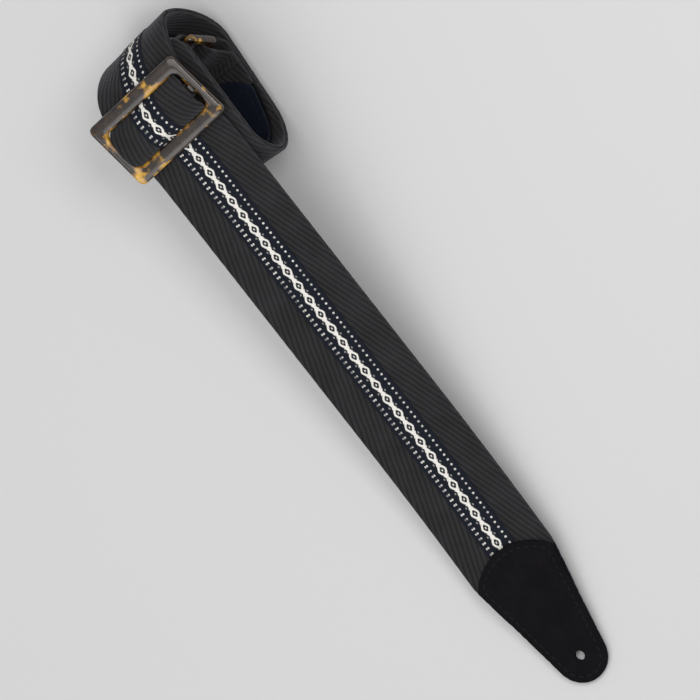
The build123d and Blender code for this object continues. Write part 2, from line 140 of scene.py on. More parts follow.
def run_heading(x):
    steep, gentle = tan(radians(RUN_SLOPE)), tan(radians(TAB_SLOPE))
    share = min(max((x - RUN_BEND_X) / (HINGE_X - RUN_BEND_X), 0.0), 1.0)
    return -atan2(steep + (gentle - steep) * share, 1.0)


def across(lay):
    tilt, yaw = radians(lay[1]), radians(lay[2])
    return Vector((sin(yaw) * cos(tilt), cos(yaw) * cos(tilt), sin(tilt)))


def section(station, inward=0.0):
    """A station's middle, the lines across the webbing and off its surface there, and its heading."""
    x, z, heading, lay = station
    width = across(lay)
    ahead = Vector((cos(heading), 0, sin(heading)))
    ahead = (ahead - width * ahead.dot(width)).normalized()
    up = ahead.cross(width)
    return Vector((x, lay[0], z)) + up * inward, width, up, ahead


def local_stations(origin, heading, corners):
    """Corners given along and to the left of a heading, as x, z corners."""
    x, z = origin
    return [
        (x + a * cos(heading) - l * sin(heading), z + a * sin(heading) + l * cos(heading), r, lay)
        for a, l, r, lay in corners
    ]


START_X = ROLL_X + LEFT_R + LEFT_R * sin(radians(RUN_SLOPE))
RIGHT_X = ROLL_X + ROLL_L
LOOP_HEADING = -radians(LOOP_DIP)
BAR_OUT = (LOOP_W - LOOP_BAR) / 2
UPPER_BAR = (LOOP_AT[0] - BAR_OUT * cos(LOOP_HEADING), LOOP_AT[2] - BAR_OUT * sin(LOOP_HEADING))
LOWER_BAR = (LOOP_AT[0] + BAR_OUT * cos(LOOP_HEADING), LOOP_AT[2] + BAR_OUT * sin(LOOP_HEADING))
APPROACH, FLARE = 7.6, WRAP_R * 1.55
HALF_STEP = LAYER_STEP / 2
upper_end = local_stations(UPPER_BAR, LOOP_HEADING, [(-APPROACH, -HALF_STEP, 0.0, LOOP_LAY)])[0]

main_path = rounded([
    (START_X, run_z(START_X), 0.0, SLIDER_LAY),
    (ROLL_X, run_z(ROLL_X), LEFT_R, LEFT_LAY),
    (ROLL_X, FLOOR_Z, LEFT_R, BOTTOM_LAY),
    (RIGHT_X, FLOOR_Z + 1.4, 18.5, RIGHT_LAY),
    (RIGHT_X, 37.3, 16.0, TOP_LAY),
    (ROLL_X + 8.0, 45.7, 6.0, LOOP_LAY),
    upper_end,
])
turn_path = rounded(local_stations(UPPER_BAR, LOOP_HEADING, [
    (-APPROACH, -HALF_STEP, 0.0, LOOP_LAY),
    (WRAP_R, -FLARE, WRAP_R, UPPER_TURN_LAY),
    (WRAP_R, FLARE, WRAP_R, LOOP_LAY),
    (-APPROACH, HALF_STEP, 0.0, LOOP_LAY),
]), turn_step=12.0)
tail_path = rounded([
    (ROLL_X + 38.3, 10.55, 0.0, BOTTOM_LAY),
    (ROLL_X + 31.5, 10.4, 3.0, TAIL_LAY),
    *local_stations(LOWER_BAR, LOOP_HEADING, [
        (-WRAP_R, WRAP_R, WRAP_R - 0.4, LOWER_TURN_LAY),
        (-WRAP_R, -WRAP_R, WRAP_R, TAIL_LAY),
    ]),
    (ROLL_X + 24.4, FLOOR_Z + 5.43, 5.0, BOTTOM_LAY),
    (ROLL_X + 39.1, 8.8, 0.0, BOTTOM_LAY),
])
rear_path = rounded([
    (ROLL_X + 39.1, 8.8, 0.0, BOTTOM_LAY),
    (ROLL_X + 51.0, 9.6, 30.0, BOTTOM_LAY),
    (RIGHT_X - 6.4, 10.5, 13.0, RIGHT_LAY),
    (RIGHT_X - 6.4, 31.6, 9.5, TOP_LAY),
    (ROLL_X + 49.1, 34.6, 0.0, TOP_LAY),
], step=REAR_STEP)

# Distances along a tab from its hinge line, and heights of its leathers' inner sides above its middle
CROWN = 0.5
HOLE = CROWN + TAB_CROWN
TIP = HOLE + TAB_TIP_R
WEB_END = CROWN + WEB_IN_TAB
INSIDE_TIP, INSIDE_WEB = 0.025, WEB_T / 2 + 0.05
CENTRED_X = -121.0


def run_station(x):
    """A station of the run, which lies to one side at the roll and in the middle past CENTRED_X."""
    x = max(x, START_X)
    y = SLIDER_LAY[0] * (1 - ease((x - START_X) / (CENTRED_X - START_X)))
    return (x, run_z(x), run_heading(x), (y, 0.0, 0.0))


def reversed_section(piece):
    middle, width, up, ahead = piece
    return middle, width, up * -1, ahead * -1


def below_run(x):
    """The layer under the run, face down and heading back to the roll."""
    middle, width, up, ahead = section(run_station(x))
    return middle - up * LAYER_STEP, width, up * -1, ahead * -1


# The whole main webbing as one strip, from its end sewn under the slider to the one in the front tab
strip = [below_run(x) for x in (SLIDER_AT[0], -155.0, -157.5, -160.0, -162.3)]
strip += [section(s, LAYER_STEP) for s in main_path]
strip += [reversed_section(section(s)) for s in reversed(turn_path[1:-1])]
strip += [reversed_section(section(s)) for s in reversed(main_path)]
x = START_X + RUN_STEP
while x < HINGE_X + WEB_END:
    strip.append(section(run_station(x)))
    x += RUN_STEP


def face_down(piece):
    middle, width, up, ahead = piece
    return middle, width, up * -1, ahead


tail_strip = [face_down(section(s)) for s in tail_path]


def distances_of(stations):
    out = [0.0]
    for a, b in zip(stations, stations[1:]):
        out.append(out[-1] + hypot(b[0] - a[0], b[1] - a[1]))
    return out


rear_distances = distances_of(rear_path)
REAR_TIP_GAP = 0.2
rear_start = rear_distances[-1] - TIP - REAR_TIP_GAP


def rear_section(x):
    """The rear tab's middle section at a distance along the leather from its hinge line."""
    d = min(max(x + rear_start, 0.0), rear_distances[-1] - 1e-6)
    for i in range(len(rear_path) - 1):
        if d <= rear_distances[i + 1]:
            share = (d - rear_distances[i]) / (rear_distances[i + 1] - rear_distances[i])
            a, b = rear_path[i], rear_path[i + 1]
            turn = (b[2] - a[2] + pi) % (2 * pi) - pi
            x, z = blended(a[:2], b[:2], share)
            return section((x, z, a[2] + turn * share, blended(a[3], b[3], share)))
    return section(rear_path[-1])


rear_x = [k * REAR_STEP for k in range(1, int(WEB_END / REAR_STEP))]
tail_strip += [face_down(rear_section(x)) for x in rear_x]

tab_ahead = Vector((cos(radians(TAB_SLOPE)), 0, -sin(radians(TAB_SLOPE))))
tab_up = Vector((sin(radians(TAB_SLOPE)), 0, cos(radians(TAB_SLOPE))))
hinge_point = Vector((HINGE_X, 0, run_z(HINGE_X)))


# ---------------------------------------------------------------- mesh helpers
def new_object(name, verts, faces, uvs=None, material=None):
    """A smooth-shaded object from vertices in mm; uvs has one U, V pair for each vertex."""
    mesh = bpy.data.meshes.new(name)
    mesh.from_pydata([tuple(v * MM) for v in verts], [], faces)
    mesh.validate()
    if uvs is not None:
        layer = mesh.uv_layers.new(name="UVMap")
        for loop in mesh.loops:
            layer.data[loop.index].uv = uvs[loop.vertex_index]
    mesh.polygons.foreach_set("use_smooth", [True] * len(mesh.polygons))
    mesh.update()
    obj = bpy.data.objects.new(name, mesh)
    scene.collection.objects.link(obj)
    if material is not None:
        mesh.materials.append(material)
    return obj


def face_outward(obj, merge=None):
    """Normals outward, after vertices closer than merge, in metres, are joined."""
    bm = bmesh.new()
    bm.from_mesh(obj.data)
    if merge is not None:
        bmesh.ops.remove_doubles(bm, verts=bm.verts, dist=merge)
    bmesh.ops.recalc_face_normals(bm, faces=bm.faces)
    bm.to_mesh(obj.data)
    bm.free()


EDGE_SHARE = 0.35
EDGE_COLUMNS = (0.0, 0.08, 0.3, 0.65)
SELVEDGE_WAVER, SELVEDGE_W = 0.12, 3.0


def edge_round(t, width, reach):
    """1 in the middle of a strip, falling to EDGE_SHARE in a round edge."""
    past = (abs(t) - (width / 2 - reach)) / reach
    if past <= 0:
        return 1.0
    return EDGE_SHARE + (1 - EDGE_SHARE) * sqrt(max(0.0, 1 - min(past, 1.0) ** 2))


def columns_for(width, count, reach):
    """Places across a strip: close together in its edges, even between them."""
    inner = width / 2 - reach
    cols = [-width / 2 + reach * share for share in EDGE_COLUMNS]
    cols += [-inner + 2 * inner * k / count for k in range(count + 1)]
    cols += [width / 2 - reach * share for share in reversed(EDGE_COLUMNS)]
    return cols


def strip_mesh(name, sections, width, thickness, material, lift=0.0, count=20, reach=1.1, start=0.0,
               widths=None, end_shape=None):
    """A woven strip swept through its sections; U is the distance along it and V across, in mm."""
    cols = columns_for(width, count, reach)
    verts, uvs = [], []
    along = start
    ring = 2 * len(cols)
    for i, (middle, w, up, ahead) in enumerate(sections):
        if i:
            along += (middle - sections[i - 1][0]).length
        scale = 1.0 if widths is None else widths[i] / width
        shaped = end_shape is not None and i == len(sections) - 1
        for side in (1, -1):
            for t in (cols if side == 1 else reversed(cols)):
                h = side * thickness / 2 * edge_round(t, width, reach)
                edge = SELVEDGE_WAVER * noise.noise(Vector((along * 0.5, 9.0 if t > 0 else -9.0, 0.0)))
                edge *= max(0.0, (abs(t) - width / 2 + SELVEDGE_W) / SELVEDGE_W)
                sideways = t * scale + (edge if t > 0 else -edge)
                shift = end_shape(t) if shaped else 0.0
                verts.append(middle + w * sideways + up * (lift + h) + ahead * shift)
                uvs.append((along, t * scale))
    faces = []
    for i in range(len(sections) - 1):
        for j in range(ring):
            k = (j + 1) % ring
            a, b = i * ring, (i + 1) * ring
            faces.append((a + j, b + j, b + k, a + k))
    n = len(cols)
    for base, flip in ((0, False), ((len(sections) - 1) * ring, True)):
        for j in range(n - 1):
            quad = (base + j, base + j + 1, base + ring - 2 - j, base + ring - 1 - j)
            faces.append(quad if not flip else tuple(reversed(quad)))
    obj = new_object(name, verts, faces, uvs, material)
    face_outward(obj)
    return obj


# ---------------------------------------------------------------- node helpers
class Val:
    """A value in a shader, with arithmetic that makes Math nodes."""

    def __init__(self, tree, socket):
        self.tree, self.socket = tree, socket

    def op(self, name, *others):
        node = self.tree.nodes.new("ShaderNodeMath")
        node.operation = name
        for slot, value in enumerate((self, *others)):
            if isinstance(value, Val):
                self.tree.links.new(value.socket, node.inputs[slot])
            else:
                node.inputs[slot].default_value = value
        return Val(self.tree, node.outputs[0])

    def __add__(self, o):
        return self.op("ADD", o)

    def __sub__(self, o):
        return self.op("SUBTRACT", o)

    def __mul__(self, o):
        return self.op("MULTIPLY", o)

    def __truediv__(self, o):
        return self.op("DIVIDE", o)

    def abs(self):
        return self.op("ABSOLUTE")

    def pow(self, p):
        return self.op("POWER", p)

    def fract(self):
        return self.op("FRACT")

    def floor(self):
        return self.op("FLOOR")

    def sin(self):
        return self.op("SINE")

    def max(self, o):
        return self.op("MAXIMUM", o)

    def flip(self):
        return (self * -1.0) + 1.0

    def ramp(self, low, high, out_low=0.0, out_high=1.0):
        """Smoothly from out_low at low to out_high at high."""
        node = self.tree.nodes.new("ShaderNodeMapRange")
        node.interpolation_type = "SMOOTHSTEP"
        node.inputs[1].default_value = low
        node.inputs[2].default_value = high
        node.inputs[3].default_value = out_low
        node.inputs[4].default_value = out_high
        self.tree.links.new(self.socket, node.inputs[0])
        return Val(self.tree, node.outputs[0])


def material(name):
    mat = bpy.data.materials.new(name)
    mat.use_nodes = True
    tree = mat.node_tree
    return mat, tree, tree.nodes["Principled BSDF"]


def strip_coordinates(tree):
    """Distance along and across a strip in mm, or across and up a frame's bar, and the UV vector."""
    uv = tree.nodes.new("ShaderNodeUVMap")
    uv.uv_map = "UVMap"
    split = tree.nodes.new("ShaderNodeSeparateXYZ")
    tree.links.new(uv.outputs[0], split.inputs[0])
    return Val(tree, split.outputs[0]), Val(tree, split.outputs[1]), uv.outputs[0]


def noise_value(tree, vector, scale, detail=2.0, roughness=0.5, stretch=None):
    if stretch is not None:
        mapping = tree.nodes.new("ShaderNodeMapping")
        mapping.inputs["Scale"].default_value = stretch
        tree.links.new(vector, mapping.inputs[0])
        vector = mapping.outputs[0]
    node = tree.nodes.new("ShaderNodeTexNoise")
    node.inputs["Scale"].default_value = scale
    node.inputs["Detail"].default_value = detail
    node.inputs["Roughness"].default_value = roughness
    tree.links.new(vector, node.inputs["Vector"])
    return Val(tree, node.outputs[0])


def object_vector(tree):
    node = tree.nodes.new("ShaderNodeTexCoord")
    return node.outputs["Object"]


def mix_colour(tree, factor, a, b):
    node = tree.nodes.new("ShaderNodeMix")
    node.data_type = "RGBA"
    tree.links.new(factor.socket, node.inputs[0])
    for value, slot in ((a, node.inputs[6]), (b, node.inputs[7])):
        if isinstance(value, tuple):
            slot.default_value = (*value, 1.0)
        else:
            tree.links.new(value, slot)
    return node.outputs[2]


def bump(tree, height, distance, strength=1.0):
    node = tree.nodes.new("ShaderNodeBump")
    node.inputs["Distance"].default_value = distance
    node.inputs["Strength"].default_value = strength
    tree.links.new(height.socket, node.inputs["Height"])
    return node.outputs[0]


# ---------------------------------------------------------------- materials
CORD_ANGLE, CORD_PITCH, YARN_PITCH = radians(20.0), 2.62, 0.66
# Where the painted sheen band at each edge of the webbing starts and ends, in mm from its middle
PAINTED_SHEEN_FROM, PAINTED_SHEEN_TO = 24.4, 25.3


def webbing_material(name, dark, light):
    """Herringbone: cords that slant away from the middle line, with fine yarns, painted shade in the
    grooves between the cords and a painted sheen that lightens the edges.
    """
    mat, tree, shader = material(name)
    s, t, uv = strip_coordinates(tree)
    wander = noise_value(tree, uv, 0.12, 2.0) * 1.1
    q = t.abs() * cos(CORD_ANGLE) - s * sin(CORD_ANGLE) + wander
    cord = ((q * (2 * pi / CORD_PITCH)).sin() * 0.5 + 0.5).pow(0.6)
    along = s * cos(CORD_ANGLE) + t.abs() * sin(CORD_ANGLE)
    yarn = (along * (2 * pi / YARN_PITCH)).sin() * 0.5 + 0.5
    fine = noise_value(tree, uv, 1.9, 3.0, 0.65)
    speck = noise_value(tree, uv, 4.6, 2.0, 0.7)
    patch = noise_value(tree, uv, 0.07, 2.0)
    height = cord * 0.9 + yarn * 0.2 + fine * 0.45 + speck * 0.3
    # Painted sheen: the colour is lighter in a band along each edge of the webbing
    painted_edge_sheen = t.abs().ramp(PAINTED_SHEEN_FROM, PAINTED_SHEEN_TO, 0.0, 0.32)
    # Painted shade: the cord term makes the grooves between cords darker in colour, on top of their
    # bump; yarns, specks and patches vary the tone
    tone = cord * 0.38 + yarn * 0.14 + fine * 0.5 + (speck - 0.5) * 0.5 + (patch - 0.5) * 0.4 + painted_edge_sheen
    colour = mix_colour(tree, tone.ramp(0.1, 1.05), dark, light)
    tree.links.new(colour, shader.inputs["Base Color"])
    shader.inputs["Roughness"].default_value = 0.82
    shader.inputs["Specular IOR Level"].default_value = 0.14
    shader.inputs["Sheen Weight"].default_value = 0.14
    shader.inputs["Sheen Roughness"].default_value = 0.4
    shader.inputs["Sheen Tint"].default_value = (0.75, 0.77, 0.85, 1.0)
    tree.links.new(bump(tree, height, 0.00028), shader.inputs["Normal"])
    return mat


# The ribbon's pattern in mm: half sizes are along and across it, rows are distances from its middle
REPEAT = 8.9
DIAMOND, DIAMOND_HOLE, DIAMOND_HEART = (3.75, 2.45), (2.05, 1.42), (0.62, 0.5)
KNOT_HALF, KNOT_ROW = (0.62, 0.5), 2.15
DOT_HALF = 0.60
SINGLE_ROW, SINGLE_HALF = 5.95, 0.66
PAIR_ROWS, PAIR_HALF = (-5.2, -6.3), 0.56
WEFT_PITCH, WARP_PITCH = 0.42, 0.5
NAVY = (0.0028, 0.0040, 0.0078), (0.0068, 0.0095, 0.0165)
WHITE = (0.40, 0.385, 0.36), (0.80, 0.78, 0.73)


def ribbon_material():
    """Navy jacquard with a chain of white rounded diamonds and a dotted row on each side."""
    mat, tree, shader = material("jacquard_ribbon")
    s, t, uv = strip_coordinates(tree)
    jitter = noise_value(tree, uv, 0.6, 2.0) - 0.5
    v = t + jitter * 0.5
    u = ((s / REPEAT).fract() - 0.5) * REPEAT + jitter * 0.35
    au, av = u.abs(), v.abs()

    def oval(along, over, half, power):
        return (along / half[0]).pow(power) + (over / half[1]).pow(power)

    # The diamonds, each with a dark hole, four spokes across it and a white heart
    diamond = oval(au, av, DIAMOND, 1.35).ramp(0.90, 1.10, 1.0, 0.0)
    dark = oval(au, av, DIAMOND_HOLE, 1.3).ramp(0.85, 1.15, 1.0, 0.0)
    dark = dark * (au / DIAMOND_HEART[0] + av / DIAMOND_HEART[1]).ramp(0.75, 1.25, 0.0, 1.0)
    dark = dark * (au / DIAMOND_HOLE[0] - av / DIAMOND_HOLE[1]).abs().ramp(0.02, 0.16, 0.75, 1.0)
    white = diamond * dark.flip()

    # Where two diamonds meet: the crossing, and a small ring on each side of it
    to_node = au * -1.0 + REPEAT / 2
    cross = (av - to_node * 0.5).ramp(0.55, 0.95, 1.0, 0.0) * to_node.ramp(1.3, 1.9, 1.0, 0.0)
    knot = oval(to_node, av - KNOT_ROW, KNOT_HALF, 2.0)
    ring = knot.ramp(0.55, 1.15, 1.0, 0.0) * knot.ramp(0.02, 0.3, 0.5, 1.0)
    white = white.max(cross).max(ring * 0.34)

    # Dots at a third of the repeat: one row on one side, two on the other, no two dots quite alike
    third = ((s / (REPEAT / 3)).fract() - 0.5) * (REPEAT / 3)
    which = (s / (REPEAT / 3)).floor()
    vary = ((which * 12.9898).sin() * 43758.55).fract()
    bead = (third / DOT_HALF).pow(2.0)

    def dots(row, half, low, high):
        return (bead + ((v - row) / half).pow(2.0)).ramp(low, high, 1.0, 0.0)

    first, second = (dots(row, PAIR_HALF, 0.5, 1.3) for row in PAIR_ROWS)
    pair = first.max(second * (vary * 0.7 + 0.3))
    white = white.max(dots(SINGLE_ROW, SINGLE_HALF, 0.55, 1.35).max(pair) * (vary * 0.45 + 0.45))

    weft = (s * (2 * pi / WEFT_PITCH)).sin() * 0.5 + 0.5
    warp = (t * (2 * pi / WARP_PITCH)).sin() * 0.5 + 0.5
    thread = weft * 0.6 + warp * 0.4
    fine = noise_value(tree, uv, 2.4, 2.0, 0.6)
    ground = mix_colour(tree, (thread * 0.5 + fine * 0.5).ramp(0.2, 0.8), *NAVY)
    yarn = mix_colour(tree, (thread * 0.45 + fine * 0.55).ramp(0.15, 0.75), *WHITE)
    tree.links.new(mix_colour(tree, white, ground, yarn), shader.inputs["Base Color"])
    shader.inputs["Roughness"].default_value = 0.74
    shader.inputs["Specular IOR Level"].default_value = 0.12
    shader.inputs["Sheen Weight"].default_value = 0.03
    shader.inputs["Sheen Roughness"].default_value = 0.4
    height = white * 1.0 + thread * 0.35 + fine * 0.25
    tree.links.new(bump(tree, height, 0.00022), shader.inputs["Normal"])
    return mat


def leather_material(name, dark, light, nap, rough, gloss):
    """Fine grain over slow patches; nap is the height of its bump in metres."""
    mat, tree, shader = material(name)
    vector = object_vector(tree)
    grain = noise_value(tree, vector, 2600.0, 4.0, 0.65)
    patch = noise_value(tree, vector, 90.0, 3.0, 0.55)
    pore = noise_value(tree, vector, 900.0, 3.0, 0.6)
    tone = (grain * 0.75 + patch * 0.3).ramp(0.3, 0.75)
    tree.links.new(mix_colour(tree, tone, dark, light), shader.inputs["Base Color"])
    shader.inputs["Roughness"].default_value = rough
    shader.inputs["Specular IOR Level"].default_value = gloss
    tree.links.new(bump(tree, grain * 0.6 + pore * 0.6, nap), shader.inputs["Normal"])
    return mat


def tortoiseshell_material():
    """Dark brown with clouds of amber and honey, more of them along a bar's inner edge as a painted glow
    of light shining through the thin edge, polished.
    """
    mat, tree, shader = material("tortoiseshell")
    vector = object_vector(tree)
    warp = noise_value(tree, vector, 70.0, 2.0)
    cloud = noise_value(tree, vector, 62.0, 3.0, 0.62, stretch=(1.0, 0.7, 1.4))
    fleck = noise_value(tree, vector, 190.0, 3.0, 0.6)
    inward, _, _ = strip_coordinates(tree)
    # Painted glow: more amber towards a bar's inner edge stands in for light shining through the thin
    # edge, with a little less amber near the middle of the bar
    edge = inward.ramp(0.62, 0.95, 0.0, 0.075) - (inward - 0.45).abs().ramp(0.0, 0.3, 0.02, 0.0)
    mask = (cloud * 0.85 + warp * 0.2 + (fleck - 0.5) * 0.22 + edge).ramp(0.555, 0.64)
    honey = (fleck * 0.6 + cloud * 0.5).ramp(0.5, 0.75)
    amber = mix_colour(tree, honey, (0.20, 0.085, 0.008), (0.58, 0.33, 0.035))
    brown = mix_colour(tree, fleck.ramp(0.3, 0.75), (0.007, 0.0045, 0.0035), (0.028, 0.015, 0.008))
    tree.links.new(mix_colour(tree, mask, brown, amber), shader.inputs["Base Color"])
    shader.inputs["Roughness"].default_value = 0.19
    shader.inputs["Coat Weight"].default_value = 0.3
    shader.inputs["Coat Roughness"].default_value = 0.05
    shader.inputs["IOR"].default_value = 1.5
    ripple = noise_value(tree, vector, 260.0, 2.0)
    tree.links.new(bump(tree, ripple, 0.00004, 0.4), shader.inputs["Normal"])
    return mat


def thread_material(name, dark, light):
    mat, tree, shader = material(name)
    vector = object_vector(tree)
    twist = noise_value(tree, vector, 3500.0, 2.0)
    tree.links.new(mix_colour(tree, twist.ramp(0.3, 0.7), dark, light), shader.inputs["Base Color"])
    shader.inputs["Roughness"].default_value = 0.7
    shader.inputs["Specular IOR Level"].default_value = 0.12
    tree.links.new(bump(tree, twist, 0.0001), shader.inputs["Normal"])
    return mat


WEBBING = webbing_material("webbing_weave", (0.0048, 0.0046, 0.0050), (0.0265, 0.0252, 0.0272))
RIBBON = ribbon_material()
SUEDE = leather_material("suede", (0.0030, 0.0027, 0.0032), (0.0078, 0.0070, 0.0082),
                         nap=0.00018, rough=0.95, gloss=0.05)
LINING = leather_material("navy_lining", (0.0026, 0.0042, 0.0090), (0.0045, 0.0070, 0.0145),
                          nap=0.00003, rough=0.55, gloss=0.12)
TORTOISE = tortoiseshell_material()
NAVY_THREAD = thread_material("navy_thread", (0.0026, 0.0038, 0.0075), (0.0060, 0.0085, 0.0155))
THREAD = thread_material("sewing_thread", (0.0045, 0.0042, 0.0055), (0.0130, 0.0118, 0.0160))


# ---------------------------------------------------------------- main webbing and its ribbon
def hinge_distance(piece):
    return (piece[0] - hinge_point).dot(tab_ahead)


NARROWED, FRONT_END_W, REAR_END_W = 15.3, 36.0, 38.0


def webbing_width(piece):
    """Full width, but narrower inside the front tab so that the leather covers it."""
    d = hinge_distance(piece)
    if piece[0].x < 0 or d < NARROW_FROM:
        return WEB_W
    if d < NARROWED:
        return WEB_W + (NARROW_W - WEB_W) * (d - NARROW_FROM) / (NARROWED - NARROW_FROM)
    return NARROW_W + (FRONT_END_W - NARROW_W) * (d - NARROWED) / (WEB_END - NARROWED)


def rear_webbing_width(x):
    if x < NARROW_FROM:
        return WEB_W
    return NARROW_W + (REAR_END_W - NARROW_W) * (x - NARROW_FROM) / (WEB_END - NARROW_FROM)


crown_back = TAB_CROWN - TAB_SHOULDER[0]
crown_r = (TAB_SHOULDER[1] ** 2 + crown_back**2) / (2 * crown_back)


def crown_drop(y):
    """How much nearer the tip the leather's curved back edge is at y than in its middle."""
    return crown_r - sqrt(crown_r**2 - y * y)


def on_run(x):
    return (x * MM, 0, run_z(x) * MM)


FLEX_FROM, FLEX_TO = HINGE_X - 14.0, HINGE_X + 1.0
PATTERN_START, RIBBON_GAP, RIBBON_SHORT, RIBBON_LAST = 3.35, 0.03, 0.15, -0.8
RIBBON_LIFT = WEB_T / 2 + RIBBON_T / 2 + RIBBON_GAP
RIBBON_EDGE = {"lift": RIBBON_LIFT, "count": 12, "reach": 0.5}
main_webbing = strip_mesh("strap_webbing", strip, WEB_W, WEB_T, WEBBING,
                          widths=[webbing_width(p) for p in strip])
ribbon_part = [p for p in strip if p[0].x < 0 or hinge_distance(p) < RIBBON_LAST]
ribbon_part.append(section(run_station(HINGE_X + CROWN - RIBBON_SHORT)))
main_ribbon = strip_mesh("strap_ribbon", ribbon_part, RIBBON_W, RIBBON_T, RIBBON,
                         start=PATTERN_START, end_shape=crown_drop, **RIBBON_EDGE)
for piece in (main_webbing, main_ribbon):
    on_run(FLEX_FROM)
    on_run(FLEX_TO)
    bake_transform(piece)
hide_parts("main_webbing_run", "main_webbing_roll", "loop_turn_webbing", "return_webbing",
            "front_tab_webbing_end")
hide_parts("pattern_ribbon_run", "pattern_ribbon_roll", "pattern_ribbon_loop_turn",
            "pattern_ribbon_return")

# ---------------------------------------------------------------- tail webbing
tail_widths = [WEB_W] * len(tail_path) + [rear_webbing_width(x) for x in rear_x]
tail_webbing = strip_mesh("tail_strap_webbing", tail_strip, WEB_W, WEB_T, WEBBING, widths=tail_widths)
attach(tail_webbing, "roll")
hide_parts("tail_webbing", "rear_tab_webbing_end")
tail_ribbon = strip_mesh("tail_strap_ribbon", tail_strip[:len(tail_path)], RIBBON_W, RIBBON_T, RIBBON,
                         **RIBBON_EDGE)
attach(tail_ribbon, "roll")
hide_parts("pattern_ribbon_tail")

# ---------------------------------------------------------------- slider
slider_origin = Vector((SLIDER_AT[0], SLIDER_AT[1], run_z(SLIDER_AT[0])))
slider_z = Vector((sin(radians(RUN_SLOPE)), 0, cos(radians(RUN_SLOPE))))
base_x = Vector((cos(radians(RUN_SLOPE)), 0, -sin(radians(RUN_SLOPE))))
slider_x = base_x * cos(radians(SLIDER_YAW)) + slider_z.cross(base_x) * sin(radians(SLIDER_YAW))
slider_y = slider_z.cross(slider_x)


def rounded_rectangle(length, width, radius, steps=8, side_steps=14):
    """Points round a rounded rectangle, the same number of them whatever its size."""
    points = []
    hx, hy = length / 2 - radius, width / 2 - radius
    corners = [(hx, hy, 0), (-hx, hy, 90), (-hx, -hy, 180), (hx, -hy, 270)]
    for i, (cx, cy, start) in enumerate(corners):
        for k in range(steps + 1):
            a = radians(start + 90 * k / steps)
            points.append((cx + radius * cos(a), cy + radius * sin(a)))
        nx, ny, after = corners[(i + 1) % 4]
        a = radians(after)
        qx, qy = nx + radius * cos(a), ny + radius * sin(a)
        px, py = points[-1]
        for k in range(1, side_steps):
            points.append((px + (qx - px) * k / side_steps, py + (qy - py) * k / side_steps))
    return points


PROFILE_POINTS, BAR_ROWS, BAR_INSET, BAR_CORNER, BAR_UV = 24, 12, 2.0, 0.9, (0.3, 0.0)


def frame_mesh(name, place, size, corner, window, window_corner, low, high, power, material,
               crown=0.0, bar=None):
    """A moulded rectangular frame with soft bars; place puts its own x, y, z where it belongs.

    U goes across a bar from the outside and V up it; bar is a middle bar's width, thickness and top.
    """
    outer = rounded_rectangle(*size, corner)
    inner = rounded_rectangle(*window, window_corner)
    profile = []
    for k in range(PROFILE_POINTS):
        a = 2 * pi * k / PROFILE_POINTS
        c, s = cos(a), sin(a)
        across_bar = 0.5 - 0.5 * (1 if c > 0 else -1) * abs(c) ** (2 / power)
        height = (1 if s > 0 else -1) * abs(s) ** (2 / power)
        profile.append((across_bar, height))
    verts, faces, uvs = [], [], []
    for (ox, oy), (ix, iy) in zip(outer, inner):
        for f, h in profile:
            uvs.append((f, h))
            x, y = ox + (ix - ox) * f, oy + (iy - oy) * f
            swell = crown * max(h, 0.0) * (1 - (2 * f - 1) ** 2)
            verts.append(place(x, y, (low + high) / 2 + (high - low) / 2 * h + swell))
    n, m = len(outer), len(profile)
    for i in range(n):
        for k in range(m):
            j, l = (i + 1) % n, (k + 1) % m
            faces.append((i * m + k, j * m + k, j * m + l, i * m + l))
    if bar is not None:
        width, thick, top = bar
        base = len(verts)
        length = size[1] - 2 * BAR_INSET
        rows = [-size[1] / 2 + BAR_INSET + length * k / BAR_ROWS for k in range(BAR_ROWS + 1)]
        section_points = rounded_rectangle(width, thick, BAR_CORNER, 4, 4)
        for y in rows:
            for x, z in section_points:
                verts.append(place(x, y, top - thick / 2 + z))
                uvs.append(BAR_UV)
        m = len(section_points)
        for i in range(BAR_ROWS):
            a, b = base + i * m, base + (i + 1) * m
            for k in range(m):
                l = (k + 1) % m
                faces.append((a + k, b + k, b + l, a + l))
        faces.append(tuple(base + k for k in range(m)))
        faces.append(tuple(base + BAR_ROWS * m + k for k in reversed(range(m))))
    obj = new_object(name, verts, faces, uvs, material)
    face_outward(obj)
    return obj


def slider_place(x, y, z):
    return slider_origin + slider_x * x + slider_y * y + slider_z * z


CENTRE_BAR_W, CENTRE_BAR_T = 5.0, 2.5
slider_piece = frame_mesh(
    "slider_moulding", slider_place, size=(SLIDER_W, SLIDER_L), corner=3.0,
    window=(SLIDER_W - 2 * LONG_BAR, SLIDER_L - 2 * SIDE_BAR), window_corner=3.5,
    low=SLIDER_LIFT, high=SLIDER_LIFT + SLIDER_T, power=3.4, material=TORTOISE,
    crown=0.12, bar=(CENTRE_BAR_W, CENTRE_BAR_T, SLIDER_LIFT + SLIDER_T),
)
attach(slider_piece, "slider")
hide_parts("slider_frame")


def curve_sections(points, side=1, closed=False, lift=0.0):
    """Sections of webbing along x, z points in the slider's frame; side picks its upper face."""
    out = []
    last = len(points) - 1
    for k, (x, z) in enumerate(points):
        after = points[k + 1] if k < last else points[1 if closed else last]
        before = points[k - 1] if k else points[-2 if closed else 0]
        go = Vector((after[0] - before[0], 0, after[1] - before[1])).normalized()
        ahead = slider_x * go.x + slider_z * go.z
        up = (slider_z * go.x - slider_x * go.z) * side
        out.append((slider_place(x, 0, lift + z), slider_y, up, ahead))
    return out


